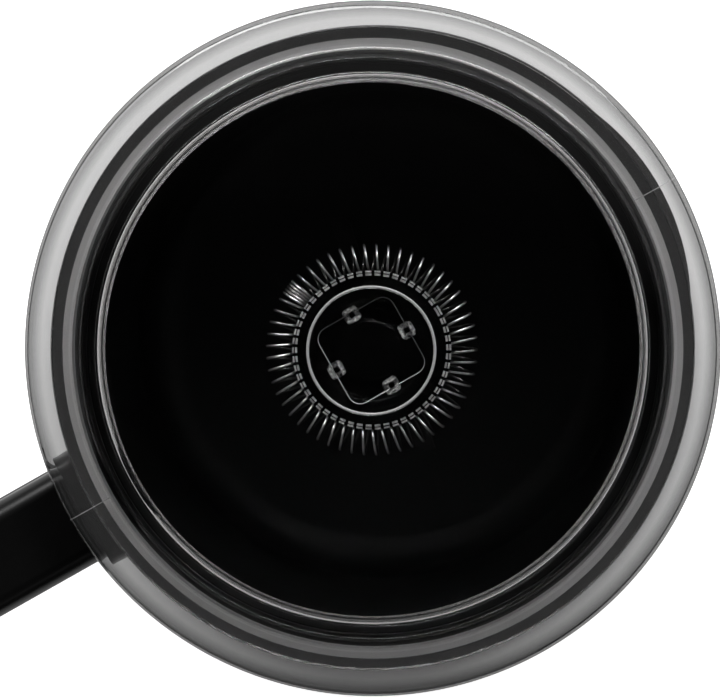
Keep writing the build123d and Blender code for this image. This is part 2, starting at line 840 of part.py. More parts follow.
# Controls: button with a flange behind the light ring and a stem towards the switch
button_front = jug_radius + button_proud
flange_front = ring_back - light_ring_gap
flange_back = flange_front - button_flange
stem_end = board_radius - fit_gap + plunger_length + button_travel + button_spare
with BuildPart() as button:
    with BuildSketch(Plane.XZ.offset(flange_back)):
        with Locations((0, button_height)):
            Circle(button_radius)
    extrude(amount=button_front - flange_back)
    fillet(button.edges().group_by(Axis.Y)[0], button_edge)
    with BuildSketch(Plane.XZ.offset(flange_back)):
        with Locations((0, button_height)):
            Circle(button_flange_radius)
    extrude(amount=button_flange)
    with BuildSketch(Plane.XZ.offset(stem_end)):
        with Locations((0, button_height)):
            Circle(button_stem_radius)
    extrude(amount=flange_back - stem_end)
button.part.label = "button"
export_step(button.part, "parts/button.step")

# Lid: clear moulding with a rounded flange, a gently domed panel, a skirt and four clip fingers
edge_out = lid_radius - lid_edge_radius
edge_top = lid_low + 2 * lid_edge_radius
panel_edge = lid_low + lid_wall + panel_rise
panel_under = panel_edge - lid_wall
bead_out = bead_radius + bead_width / 2
bead_in = bead_radius - bead_width / 2
nub_inner = neck_radius + clip_gap
clip_low = lid_under - clip_length
with BuildPart() as lid_cover:
    with BuildSketch(Plane.XZ) as lid_outline:
        with BuildLine():
            edge = ThreePointArc(
                (edge_out, lid_low),
                (lid_radius, lid_low + lid_edge_radius),
                (edge_out, edge_top),
            )
            slope = Polyline(
                edge @ 1,
                (slope_radius, edge_top),
                (panel_radius, panel_edge),
            )
            dome = TangentArc(
                (bead_out, lid_centre),
                slope @ 1,
                tangent=(1, 0),
            )
            Polyline(
                dome @ 0,
                (bead_out, lid_centre + bead_height),
                (bead_in, lid_centre + bead_height),
                (bead_in, lid_centre),
                (0, lid_centre),
                (0, lid_under),
                (bead_in, lid_under),
            )
            under = TangentArc(
                (bead_in, lid_under),
                (skirt_inner_radius - skirt_corner, panel_under),
                tangent=(1, 0),
            )
            Polyline(
                under @ 1,
                (skirt_inner_radius, panel_under - skirt_corner),
                (skirt_inner_radius, skirt_low),
                (skirt_outer_radius + skirt_lip, skirt_low),
                (skirt_outer_radius + skirt_lip, skirt_low + skirt_lip_height),
                (skirt_outer_radius, skirt_low + skirt_lip_height),
                (skirt_outer_radius, lid_low + seal_seat_rise),
                (flange_inner_radius, lid_low),
                edge @ 0,
            )
        make_face()
        panel_corner = lid_outline.vertices().sort_by_distance(slope @ 1)[0]
        fillet(panel_corner, panel_edge_radius)
    revolve(axis=Axis.Z)
    with BuildSketch(Plane.XY.offset(lid_centre)):
        RectangleRounded(mark_side, mark_side, mark_corner)
    extrude(amount=-mark_depth, mode=Mode.SUBTRACT)
    with BuildSketch(Plane.XY.offset(clip_low)):
        with PolarLocations(clip_circle, clip_count):
            Rectangle(clip_thickness, clip_width)
    extrude(amount=clip_length + lid_wall / 2)
    with BuildSketch(Plane.XY.offset(clip_low)):
        with PolarLocations((nub_inner + clip_circle) / 2, clip_count):
            Rectangle(clip_circle - nub_inner, clip_width)
    extrude(amount=clip_nub_height)
    with BuildSketch(Plane.XY.offset(lid_centre)):
        with PolarLocations(clip_circle, clip_count):
            Rectangle(window_side, window_side)
    extrude(amount=-window_depth, mode=Mode.SUBTRACT)
lid_cover.part.label = "lid_cover"
export_step(lid_cover.part, "parts/lid_cover.step")

# Lid: silicone seal on the skirt, with two lips towards the pot's mouth
seal_low = skirt_low + skirt_lip_height + fit_gap
seal_inner = skirt_outer_radius + fit_gap / 2
seal_outer = seal_inner + seal_wall
lip_reach = pot_mouth_radius - seal_lip_gap
with BuildPart() as lid_seal:
    with BuildSketch(Plane.XZ):
        with Locations((seal_inner, seal_low)):
            Rectangle(seal_wall, seal_height, align=(Align.MIN, Align.MIN))
        for lip_root in (seal_low, seal_low + seal_height - seal_lip_height - seal_lip_thickness):
            with BuildLine():
                Polyline(
                    (seal_outer - seal_wall / 2, lip_root),
                    (lip_reach, lip_root + seal_lip_height),
                    (lip_reach, lip_root + seal_lip_height + seal_lip_thickness / 2),
                    (seal_outer - seal_wall / 2, lip_root + seal_lip_thickness),
                    close=True,
                )
            make_face()
    revolve(axis=Axis.Z)
lid_seal.part.label = "lid_seal"
export_step(lid_seal.part, "parts/lid_seal.step")

# Frothing whisk: hub with a round groove for the spring, a well for the clips and a bore for the spindle
groove_radius = coil_radius + wire_radius + spring_gap
with BuildPart() as whisk_hub:
    with BuildSketch(Plane.XY.offset(hub_low)):
        Circle(spring_radius)
    extrude(amount=hub_height)
    with BuildSketch(Plane.XZ):
        with Locations((spring_radius, whisk_height)):
            Circle(groove_radius)
    revolve(axis=Axis.Z, mode=Mode.SUBTRACT)
    with BuildSketch(Plane.XY.offset(hub_top)):
        Circle(clip_well_radius)
        Circle(neck_radius, mode=Mode.SUBTRACT)
    extrude(amount=-clip_well_depth, mode=Mode.SUBTRACT)
    with BuildSketch(Plane.XY.offset(hub_low)):
        Circle(spindle_radius + running_gap)
    extrude(amount=whisk_bore_depth, mode=Mode.SUBTRACT)
    with BuildSketch(Plane.XY.offset(hub_low)):
        with PolarLocations(whisk_magnet_circle, magnet_count, start_angle=whisk_magnet_angle):
            Circle(whisk_magnet_radius + fit_gap / 2)
    extrude(amount=whisk_magnet_height, mode=Mode.SUBTRACT)
whisk_hub.part.label = "whisk_hub"
export_step(whisk_hub.part, "parts/whisk_hub.step")

# Frothing whisk: spring closed into a ring round the hub, its turns tight where the two ends meet
open_pitch = (full_turn - tight_pitch * (1 + 2 * tight_reach)) / (coil_turns - 2 * tight_reach)


def ring_angle(turn):
    """Angle round the hub, in degrees, after so many turns: the pitch eases from tight to open and back."""
    eased = math.tanh(turn / tight_reach) + math.tanh((turn - coil_turns) / tight_reach)
    eased += math.tanh(coil_turns / tight_reach)
    return join_angle + open_pitch * turn - (open_pitch - tight_pitch) * tight_reach * eased


def coil_point(turn):
    """Point of the spring's centre line after so many turns."""
    phase = 2 * math.pi * turn
    around = math.radians(ring_angle(turn))
    reach = spring_radius - coil_radius * math.cos(phase)
    return Vector(
        reach * math.cos(around),
        reach * math.sin(around),
        whisk_height + coil_radius * math.sin(phase),
    )


def coil_direction(turn, step=0.01):
    """Unit tangent of the spring's centre line."""
    return (coil_point(turn + step) - coil_point(turn - step)).normalized()


def biarc_joint(start, start_way, end, end_way):
    """Joint of two equal-reach arcs from start to end, and the direction there."""
    across = end - start
    ways = start_way + end_way
    square = 2 * (start_way.dot(end_way) - 1)
    run = across.dot(ways)
    reach = (run - math.sqrt(run**2 - square * across.dot(across))) / square
    first = start + start_way * reach
    second = end - end_way * reach
    return (first + second) * 0.5, second - first


with BuildPart() as whisk_spring:
    with BuildLine() as coil:
        for half in range(2 * coil_turns):
            start, end = coil_point(half / 2), coil_point((half + 1) / 2)
            start_way, end_way = coil_direction(half / 2), coil_direction((half + 1) / 2)
            joint, joint_way = biarc_joint(start, start_way, end, end_way)
            TangentArc(start, joint, tangent=start_way)
            TangentArc(joint, end, tangent=joint_way)
    with BuildSketch(Plane(coil_point(0), z_dir=coil_direction(0))):
        RegularPolygon(wire_radius, wire_sides)
    sweep(clean=False)
whisk_spring.part.label = "whisk_spring"
export_step(whisk_spring.part, "parts/whisk_spring.step")

# The spring's least gap to itself, between points that lie over a third of a turn apart along the wire
samples_per_turn = 48
coil_samples = [coil_point(i / samples_per_turn) for i in range(coil_turns * samples_per_turn + 1)]
apart = samples_per_turn // 3
reach_ahead = samples_per_turn * 2
least = min(
    (coil_samples[i] - coil_samples[j % len(coil_samples)]).length
    for i in range(len(coil_samples))
    for j in range(i + apart, i + reach_ahead)
    if abs(i - j % len(coil_samples)) >= apart
)
print("whisk spring: least gap to itself", round(least - 2 * wire_radius, 3), "mm")

# Frothing whisk: magnets set into the hub's underside
with BuildPart() as whisk_magnets:
    with BuildSketch(Plane.XY.offset(hub_low)):
        with PolarLocations(whisk_magnet_circle, magnet_count, start_angle=whisk_magnet_angle):
            Circle(whisk_magnet_radius)
    extrude(amount=whisk_magnet_height)
whisk_magnets.part.label = "whisk_magnets"
export_step(whisk_magnets.part, "parts/whisk_magnets.step")

# Stirring whisk: magnet disc, hub over the spindle and two blades with cut corners
stirrer_low = pot_floor + stirrer_clearance
stirrer_blade_level = stirrer_low + stirrer_disc_height - blade_thickness
with BuildPart() as stirrer:
    with BuildSketch(Plane.XY.offset(stirrer_low)):
        Circle(stirrer_disc_radius)
    extrude(amount=stirrer_disc_height)
    with BuildSketch(Plane.XY.offset(stirrer_low)):
        Circle(stirrer_hub_radius)
    extrude(amount=stirrer_hub_height)
    chamfer(stirrer.edges().group_by(Axis.Z)[-1], stirrer_edge)
    for blade in range(blade_count):
        turned = blade_angle + blade * full_turn / blade_count
        with BuildSketch(Plane.XY.offset(stirrer_blade_level).rotated((0, 0, turned))):
            with BuildLine():
                Polyline(
                    (0, blade_offset - blade_breadth / 2),
                    (blade_reach - blade_chamfer, blade_offset - blade_breadth / 2),
                    (blade_reach, blade_offset - blade_breadth / 2 + blade_chamfer),
                    (blade_reach, blade_offset + blade_breadth / 2),
                    (0, blade_offset + blade_breadth / 2),
                    close=True,
                )
            make_face()
    extrude(amount=blade_thickness)
    with BuildSketch(Plane.XY.offset(stirrer_low)):
        Circle(spindle_radius + running_gap)
    extrude(amount=stirrer_hub_height - stirrer_cap, mode=Mode.SUBTRACT)
    with BuildSketch(Plane.XY.offset(stirrer_low)):
        with PolarLocations(stirrer_magnet_circle, magnet_count):
            Circle(stirrer_magnet_radius + fit_gap / 2)
    extrude(amount=stirrer_magnet_height, mode=Mode.SUBTRACT)
stirrer.part.label = "stirrer"
export_step(stirrer.part, "parts/stirrer.step")

# Stirring whisk: magnets set into the disc's underside
with BuildPart() as stirrer_magnets:
    with BuildSketch(Plane.XY.offset(stirrer_low)):
        with PolarLocations(stirrer_magnet_circle, magnet_count):
            Circle(stirrer_magnet_radius)
    extrude(amount=stirrer_magnet_height)
stirrer_magnets.part.label = "stirrer_magnets"
export_step(stirrer_magnets.part, "parts/stirrer_magnets.step")
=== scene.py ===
import json
import math

import bmesh
import bpy
from mathutils import Matrix, Vector


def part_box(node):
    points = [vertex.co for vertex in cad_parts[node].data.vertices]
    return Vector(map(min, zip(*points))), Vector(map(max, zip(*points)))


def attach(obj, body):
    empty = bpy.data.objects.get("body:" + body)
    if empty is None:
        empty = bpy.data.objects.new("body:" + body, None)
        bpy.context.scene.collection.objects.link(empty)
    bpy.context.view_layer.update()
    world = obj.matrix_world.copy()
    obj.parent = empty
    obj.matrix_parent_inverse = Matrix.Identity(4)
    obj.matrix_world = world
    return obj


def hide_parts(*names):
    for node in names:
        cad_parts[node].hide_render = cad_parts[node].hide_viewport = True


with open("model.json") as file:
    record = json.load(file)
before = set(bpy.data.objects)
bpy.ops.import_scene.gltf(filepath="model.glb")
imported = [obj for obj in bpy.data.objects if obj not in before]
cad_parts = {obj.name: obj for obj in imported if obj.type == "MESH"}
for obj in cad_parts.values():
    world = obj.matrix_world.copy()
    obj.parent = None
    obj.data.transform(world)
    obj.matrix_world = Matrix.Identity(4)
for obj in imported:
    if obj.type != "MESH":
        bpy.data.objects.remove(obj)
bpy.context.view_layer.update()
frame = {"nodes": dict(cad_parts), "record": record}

# Milk frother, dressed for a photograph taken from above its clear lid.
# Metres. The jug's axis is Z, the handle points along +X and the pouring lip along -X.
mm = 0.001
turn = 2 * math.pi

# The photograph
image_width = 720
image_height = 697
sensor_width = 36.0
lid_edge_centre = (372.3, 349.1)  # pixels, from the upper left corner
lid_edge_pixels = 348.2  # the lid edge's radius in the picture
handle_picture_angle = math.radians(209.5)
camera_distance = 610 * mm  # above the lid's edge
camera_aside = 22 * mm
camera_aside_angle = math.radians(-152.5)

# Roundness of the turned pieces
lid_segments = 256
hub_segments = 192
pocket_segments = 32

# Clear lid, as in the CAD frame
lid_floor, lid_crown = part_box("lid_cover")
lid_radius = lid_crown.x
bead_height = 0.4 * mm
lid_centre = lid_crown.z - bead_height
lid_wall = 2.0 * mm
lid_under = lid_centre - lid_wall
skirt_low = lid_floor.z
lid_low = skirt_low + 6.0 * mm
lid_edge_radius = 1.5 * mm
flange_top = lid_low + 2 * lid_edge_radius
slope_radius = lid_radius - 7.0 * mm
panel_radius = lid_radius - 10.9 * mm
seal_seat = lid_low + 2.5 * mm
panel_edge = lid_low + lid_wall + 3.5 * mm
skirt_outer = lid_radius - 9.4 * mm
skirt_inner = skirt_outer - 1.85 * mm
flange_root = skirt_outer + 2.3 * mm
bead_radius = 9.4 * mm
bead_half = 0.25 * mm
mark_side = 12.4 * mm
mark_corner = 1.8 * mm
mark_depth = 0.25 * mm
mark_slope = 0.13 * mm
clip_circle = 6.0 * mm
clip_count = 4
clip_width = 2.5 * mm
window_side = 0.85 * mm
pad_height = 0.4 * mm
pad_width = 2.4 * mm

# Frothing whisk under the lid
hub_floor, hub_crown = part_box("whisk_hub")
whisk_height = (hub_floor.z + hub_crown.z) / 2
ring_radius = 13.5 * mm
coil_radius = 2.1 * mm
wire_radius = 0.18 * mm
open_turns = 52
tight_turns = 5
tight_pitch = math.radians(1.9)
join_angle = math.radians(-66.5)  # where the spring's ends meet
open_pitch = (turn - tight_turns * tight_pitch) / open_turns
wire_sides = 8
points_per_turn = 24
hub_lip = hub_crown.x
groove_radius = 2.625 * mm


# Shader arithmetic


class Signal:
    """A shader socket that Python operators work on: each operator adds a Math node to the same tree."""

    def __init__(self, tree, socket=None):
        self.tree = tree
        self.socket = socket

    def make(self, kind, settings=None, inputs=None, output=0):
        """Adds a node: its settings first, then its sockets' values or links. Gives one of its outputs."""
        node = self.tree.nodes.new(kind)
        for name, value in (settings or {}).items():
            if name == "stops":
                set_stops(node.color_ramp, value)
            else:
                setattr(node, name, value)
        for name, value in (inputs or {}).items():
            if isinstance(value, Signal):
                self.tree.links.new(value.socket, node.inputs[name])
            else:
                node.inputs[name].default_value = value
        return Signal(self.tree, node.outputs[output] if node.outputs else None)

    def math(self, operation, first, second=0.0):
        return self.make("ShaderNodeMath", {"operation": operation}, {0: first, 1: second})

    def __add__(self, other):
        return self.math("ADD", self, other)

    def __radd__(self, other):
        return self.math("ADD", other, self)

    def __sub__(self, other):
        return self.math("SUBTRACT", self, other)

    def __rsub__(self, other):
        return self.math("SUBTRACT", other, self)

    def __mul__(self, other):
        return self.math("MULTIPLY", self, other)

    def __rmul__(self, other):
        return self.math("MULTIPLY", other, self)

    def __truediv__(self, other):
        return self.math("DIVIDE", self, other)

    def __pow__(self, other):
        return self.math("POWER", self, other)

    def __gt__(self, other):
        return self.math("GREATER_THAN", self, other)

    def __lt__(self, other):
        return self.math("LESS_THAN", self, other)

    def clamped(self):
        return self.make("ShaderNodeClamp", inputs={"Value": self})


def set_stops(ramp, stops):
    """Places a ramp's stops, each a place and a grey level or colour."""
    while len(ramp.elements) < len(stops):
        ramp.elements.new(1.0)
    for element, (place, colour) in zip(ramp.elements, stops):
        element.position = place
        element.color = colour if isinstance(colour, tuple) else (colour, colour, colour, 1.0)


def grey(level):
    return (level, level, level, 1.0)


def start_material(name):
    """An empty material and a Signal to build its nodes with."""
    material = bpy.data.materials.new(name)
    material.use_nodes = True
    material.node_tree.nodes.clear()
    return material, Signal(material.node_tree)


def finish_material(nodes, surface):
    nodes.make("ShaderNodeOutputMaterial", inputs={"Surface": surface})


def object_place(nodes):
    """Object coordinates."""
    return nodes.make("ShaderNodeTexCoord", output=3)


def axes_of(place):
    """The x, y and z of a place or direction."""
    split = place.make("ShaderNodeSeparateXYZ", inputs={0: place})
    return [Signal(place.tree, socket) for socket in split.socket.node.outputs]


def reach_of(x, y):
    """Distance from the jug's axis."""
    return (x * x + y * y) ** 0.5


def angle_round(x, y):
    """Angle round the jug's axis."""
    return x.make("ShaderNodeMath", {"operation": "ARCTAN2"}, {0: y, 1: x})


def grain(place, size, detail=3.0):
    """Even noise from 0 to 1 whose lumps are about that many metres across."""
    return place.make(
        "ShaderNodeTexNoise",
        inputs={"Vector": place, "Scale": 1 / size, "Detail": detail},
    )


def bumped(height, strength, depth):
    return height.make(
        "ShaderNodeBump",
        inputs={"Height": height, "Strength": strength, "Distance": depth},
    )


def mixed_colour(factor, first, second):
    """Colour that goes from first to second with the factor."""
    return factor.make(
        "ShaderNodeMix",
        {"data_type": "RGBA"},
        {0: factor, 6: first, 7: second},
        output=2,
    )


# Finishes


def clear_plastic():
    """Polished clear moulding: a little smoky, with painted shade darkening it towards its rim, frosted on
    its small raised forms.
    """
    material, nodes = start_material("clear plastic")
    place = object_place(nodes)
    x, y, z = axes_of(place)
    reach = reach_of(x, y)
    wipes = grain(place, 9 * mm, 6.0)
    flow = grain(place, 30 * mm, 1.0)
    smoke = mixed_colour(flow, (0.815, 0.81, 0.81, 1.0), (0.85, 0.845, 0.845, 1.0))
    rim_width = 2.7 * mm
    rim_blend = 1.5 * mm
    # painted shade: the tint darkens over the rolled rim
    rim = ((reach - (lid_radius - rim_width)) / rim_blend).clamped()
    clear = nodes.make(
        "ShaderNodeBsdfPrincipled",
        inputs={
            "Base Color": mixed_colour(rim, smoke, grey(0.46)),
            "Roughness": 0.012 + 0.03 * wipes ** 3.0,
            "IOR": 1.5,
            "Transmission Weight": 1.0,
            "Normal": bumped(flow, 0.05, 0.3 * mm),
        },
    )
    speckle = ((grain(place, 0.4 * mm, 2.0) - 0.35) * 3.0).clamped()
    frosted = nodes.make(
        "ShaderNodeBsdfPrincipled",
        inputs={
            "Base Color": mixed_colour(speckle, grey(0.72), grey(0.84)),
            "Roughness": 0.5,
            "IOR": 1.5,
        },
    )
    frost = lid_frost(nodes, x, y, z, reach, speckle)
    finish_material(nodes, nodes.make("ShaderNodeMixShader", inputs={0: frost, 1: clear, 2: frosted}))
    return material


def lid_frost(nodes, x, y, z, reach, speckle):
    """How frosted the lid is: at its bead, clip pads and square field, and faintly on its flange."""
    bead_frost = 0.42
    field_frost = 0.3
    parting_frost = 0.3
    parting_half = 0.05 * mm
    pad_limit = 0.97
    tiny = 0.02 * mm
    across = nodes.math("ABSOLUTE", x)
    along = nodes.math("ABSOLUTE", y)
    outward = nodes.math("ABSOLUTE", nodes.math("MAXIMUM", across, along) - clip_circle)
    sideways = nodes.math("MINIMUM", across, along)
    window = nodes.math("MAXIMUM", outward, sideways) < window_side / 2
    # 0 at a pad's middle, 1 at its rounded edge
    inset = ((outward / (pad_width / 2)) ** 4.0 + (sideways / (clip_width / 2)) ** 4.0) ** 0.25
    pad_glow = 0.18 + 4.0 * (inset - 0.95 * inset ** 2.0) * speckle
    within_bead = reach < bead_radius
    bead = (z > lid_centre + 0.75 * bead_height) * bead_frost
    pads = (inset < pad_limit) * (1 - window) * pad_glow
    fingers = (z < lid_under - tiny) * within_bead * pads
    in_field = (z < lid_centre - tiny) * (z > lid_centre - mark_depth + tiny)
    field = in_field * within_bead * field_frost
    on_flange = reach > slope_radius
    rings = grain(nodes.make("ShaderNodeCombineXYZ", inputs={0: reach}), 0.35 * mm, 4.0)
    veil = on_flange * (z > flange_top - lid_edge_radius) * (0.008 + 0.03 * rings)
    parting = (along < parting_half) * on_flange * parting_frost
    return bead + fingers + field + veil + parting


def moulded_black(name, level, roughness, texture, texture_depth, ior=1.5):
    """Black plastic: fine moulded grain, uneven gloss and a trace of dust in the lighter grains."""
    material, nodes = start_material(name)
    place = object_place(nodes)
    pits = grain(place, texture)
    patches = grain(place, 18 * mm, 4.0)
    finish_material(nodes, nodes.make(
        "ShaderNodeBsdfPrincipled",
        inputs={
            "Base Color": mixed_colour(pits, grey(level * 0.7), grey(level * 1.4)),
            "Roughness": (roughness - 0.06) + 0.12 * patches,
            "IOR": ior,
            "Normal": bumped(pits, 0.25, texture_depth),
        },
    ))
    return material


def soft_black(name, level, roughness, ior=1.42):
    """Silicone or rubber: matt, with a powdery bloom."""
    material, nodes = start_material(name)
    place = object_place(nodes)
    bloom = grain(place, 5 * mm, 5.0)
    skin = grain(place, 0.4 * mm)
    finish_material(nodes, nodes.make(
        "ShaderNodeBsdfPrincipled",
        inputs={
            "Base Color": mixed_colour(bloom, grey(level * 0.8), grey(level * 1.3)),
            "Roughness": roughness + 0.15 * skin,
            "IOR": ior,
            "Normal": bumped(skin, 0.2, 0.05 * mm),
        },
    ))
    return material


def nonstick_pot():
    """Black non-stick with a fine speckle; the turned-out lip is bare steel, painted pale as light that it
    lacks under the lid, with painted shade over its outer half.
    """
    material, nodes = start_material("non-stick pot")
    place = object_place(nodes)
    x, y, z = axes_of(place)
    reach = reach_of(x, y)
    pot_mouth = 44.7 * mm
    lip_start = pot_mouth - 0.25 * mm
    lip_shade_start = pot_mouth + 0.8 * mm
    lip_depth = 0.9 * mm
    lip_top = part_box("inner_pot")[1].z
    lip = (reach > lip_start) * (z > lip_top - lip_depth)
    speckle = grain(place, 0.5 * mm, 4.0)
    cloud = grain(place, 14 * mm, 4.0)
    coat = mixed_colour(speckle, grey(0.008), grey(0.024))
    # painted light and shade: the lip's steel is painted pale, and darker over its outer half
    steel = mixed_colour((reach > lip_shade_start) * 0.6 + 0.4 * cloud, grey(0.90), grey(0.70))
    finish_material(nodes, nodes.make(
        "ShaderNodeBsdfPrincipled",
        inputs={
            "Base Color": mixed_colour(lip, coat, steel),
            "Metallic": lip * 0.4,
            "Roughness": 0.42 + 0.08 * lip + 0.1 * cloud,
            "IOR": 1.4,
            "Normal": bumped(speckle, 0.15, 0.04 * mm),
        },
    ))
    return material


def brushed_steel():
    """Sheet steel brushed round the jug: long fine lines that follow the wall."""
    material, nodes = start_material("brushed steel")
    place = object_place(nodes)
    x, y, z = axes_of(place)
    stretch = 4 * mm  # a radian round the jug counts as this far, so that the lines are long
    along = x.make("ShaderNodeCombineXYZ", inputs={0: angle_round(x, y) * stretch, 1: z})
    lines = 0.5 * grain(along, 0.12 * mm, 4.0) + 0.5 * grain(along, 1.1 * mm, 5.0)
    cloud = grain(place, 22 * mm, 3.0)
    finish_material(nodes, nodes.make(
        "ShaderNodeBsdfPrincipled",
        inputs={
            "Base Color": mixed_colour(lines, (0.34, 0.335, 0.33, 1.0), (0.78, 0.77, 0.76, 1.0)),
            "Metallic": 1.0,
            "Roughness": 0.16 + 0.18 * lines + 0.05 * cloud,
            "Normal": bumped(lines, 0.12, 0.03 * mm),
        },
    ))
    return material


def bright_metal(name, colour, roughness, mark_size):
    """Drawn, turned or plated metal with faint tool marks."""
    material, nodes = start_material(name)
    place = object_place(nodes)
    marks = grain(place, mark_size, 3.0)
    dull = tuple(0.82 * part for part in colour)
    finish_material(nodes, nodes.make(
        "ShaderNodeBsdfPrincipled",
        inputs={
            "Base Color": mixed_colour(marks, (*dull, 1.0), (*colour, 1.0)),
            "Metallic": 1.0,
            "Roughness": roughness + 0.1 * marks,
            "Normal": bumped(marks, 0.1, 0.02 * mm),
        },
    ))
    return material


def whisk_wire():
    """Drawn steel wire, bright where it runs over the top of the whisk, with painted shade on the turns'
    undersides below.
    """
    material, nodes = start_material("drawn wire")
    place = object_place(nodes)
    z = axes_of(place)[2]
    marks = grain(place, 0.3 * mm)
    # painted shade: the wire's colour darkens from the tops of its turns down to their undersides
    shade_level = whisk_height + 0.2 * mm
    blend = 1.7 * mm
    painted_light_top = ((z - shade_level) / blend).clamped()
    finish_material(nodes, nodes.make(
        "ShaderNodeBsdfPrincipled",
        inputs={
            "Base Color": mixed_colour(painted_light_top, grey(0.10), grey(0.80)),
            "Metallic": 1.0,
            "Roughness": 0.34 + 0.1 * marks,
            "Normal": bumped(marks, 0.1, 0.02 * mm),
        },
    ))
    return material


def whisk_black():
    """Polished black hub, with a painted highlight in dashes on its lip between the turns of the spring."""
    material, nodes = start_material("hub black")
    place = object_place(nodes)
    x, y, z = axes_of(place)
    reach = reach_of(x, y)
    turns = nodes.math("FRACT", (angle_round(x, y) - join_angle) / open_pitch)
    dash_half = 0.33  # of a turn's pitch
    dashes = nodes.math("ABSOLUTE", turns - 0.5) < dash_half
    highlight_width = 0.75 * mm
    highlight_depth = 0.25 * mm
    gap_inset = 0.36 * mm  # a thin dark line parts the highlight's dashes into two rows
    gap_half = 0.07 * mm
    rows = nodes.math("ABSOLUTE", reach - (hub_lip - gap_inset)) > gap_half
    # painted highlight: pale dashes on the hub's top face at its lip, where the lip's edge would catch light
    # between the wires
    painted_lip_highlight = (reach > hub_lip - highlight_width) * (z > hub_crown.z - highlight_depth) * dashes * rows
    highlight_grain = grain(place, 0.8 * mm)
    finish_material(nodes, nodes.make(
        "ShaderNodeBsdfPrincipled",
        inputs={
            "Base Color": mixed_colour(painted_lip_highlight * (0.35 + 0.9 * highlight_grain), grey(0.004), grey(0.85)),
            "Roughness": 0.16 + 0.3 * painted_lip_highlight,
            "IOR": 1.46,
        },
    ))
    return material


def pale_plastic(name, colour, roughness):
    """Undyed inner plastic or a milky light guide, with slight clouding."""
    material, nodes = start_material(name)
    place = object_place(nodes)
    cloud = grain(place, 6 * mm, 4.0)
    dull = tuple(0.88 * part for part in colour)
    finish_material(nodes, nodes.make(
        "ShaderNodeBsdfPrincipled",
        inputs={
            "Base Color": mixed_colour(cloud, (*dull, 1.0), (*colour, 1.0)),
            "Roughness": roughness + 0.1 * cloud,
            "IOR": 1.5,
        },
    ))
    return material


def circuit_board():
    """Green solder mask over copper tracks that run in blocks, with tinned pads."""
    material, nodes = start_material("circuit board")
    place = object_place(nodes)
    tracks = place.make(
        "ShaderNodeTexBrick",
        inputs={"Vector": place, "Scale": 90.0, "Mortar Size": 0.03},
        output=1,
    )
    pad_size = 0.18  # of the space between pads
    pads = place.make("ShaderNodeTexVoronoi", inputs={"Vector": place, "Scale": 260.0}) < pad_size
    mask = mixed_colour(tracks, (0.02, 0.13, 0.055, 1.0), (0.035, 0.2, 0.085, 1.0))
    finish_material(nodes, nodes.make(
        "ShaderNodeBsdfPrincipled",
        inputs={
            "Base Color": mixed_colour(pads, mask, (0.55, 0.55, 0.54, 1.0)),
            "Metallic": pads * 0.8,
            "Roughness": 0.45 - 0.15 * pads,
        },
    ))
    return material


finishes = {
    "clear_plastic": clear_plastic(),
    "black_plastic": moulded_black(
        "satin black plastic", level=0.012, roughness=0.40, texture=0.5 * mm, texture_depth=0.05 * mm),
    "black_gloss": moulded_black(
        "polished black plastic", level=0.008, roughness=0.20, texture=0.9 * mm, texture_depth=0.02 * mm),
    "silicone": soft_black("dark silicone", level=0.016, roughness=0.45),
    "rubber": soft_black("black rubber", level=0.02, roughness=0.65),
    "nonstick": nonstick_pot(),
    "steel_brushed": brushed_steel(),
    "steel": bright_metal("bright steel", (0.60, 0.60, 0.60), roughness=0.22, mark_size=0.6 * mm),
    "spring_steel": whisk_wire(),
    "magnet": bright_metal("nickel plate", (0.58, 0.57, 0.55), roughness=0.12, mark_size=1.5 * mm),
    "board": circuit_board(),
    "light": pale_plastic("milky light guide", (0.82, 0.84, 0.86), roughness=0.25),
    "inner_plastic": pale_plastic("grey inner plastic", (0.32, 0.32, 0.32), roughness=0.5),
}
# Pieces whose finish differs from the rest of their slot
node_finish = {
    "whisk_hub": whisk_black(),
    # the collar's black is painted lighter than the satin black, as painted light on its top face
    "top_collar": moulded_black(
        "collar black painted lighter", level=0.04, roughness=0.42, texture=0.5 * mm, texture_depth=0.04 * mm),
    "handle_shell": moulded_black(
        "handle black", level=0.0025, roughness=0.3, texture=0.8 * mm, texture_depth=0.02 * mm, ior=1.4),
    "lid_seal": soft_black("seal black", level=0.005, roughness=0.6, ior=1.25),
}


# Mesh helpers

record = frame["record"]
node_slot = {part["node"]: part["material_slot"] for part in record["subparts"]}
node_body = {node: body for body, members in record["behaviour"]["bodies"].items() for node in members}
smooth_angle = math.radians(32)


def heading(angle, rise=0.0):
    """Unit vector at that angle round the jug and that angle above the table."""
    return Vector((math.cos(angle) * math.cos(rise), math.sin(angle) * math.cos(rise), math.sin(rise)))


def finish_of(node):
    return node_finish.get(node) or finishes[node_slot[node]]


def linked(name, mesh):
    piece = bpy.data.objects.new(name, mesh)
    bpy.context.scene.collection.objects.link(piece)
    return piece


def plain_mesh(piece, name):
    """The mesh that a piece's modifiers give, as a mesh of its own; the piece itself goes."""
    graph = bpy.context.evaluated_depsgraph_get()
    mesh = bpy.data.meshes.new_from_object(piece.evaluated_get(graph), depsgraph=graph)
    mesh.name = name
    bpy.data.objects.remove(piece)
    return mesh


def shaded(mesh):
    """The mesh, smooth but for its sharp edges."""
    mesh.shade_smooth()
    mesh.set_sharp_from_angle(angle=smooth_angle)
    return mesh


def dressed(name, mesh, node):
    """A finished piece in place of that CAD node, on its body and in its finish."""
    mesh.materials.clear()
    mesh.materials.append(finish_of(node))
    piece = linked(name, mesh)
    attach(piece, node_body[node])
    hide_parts(node)


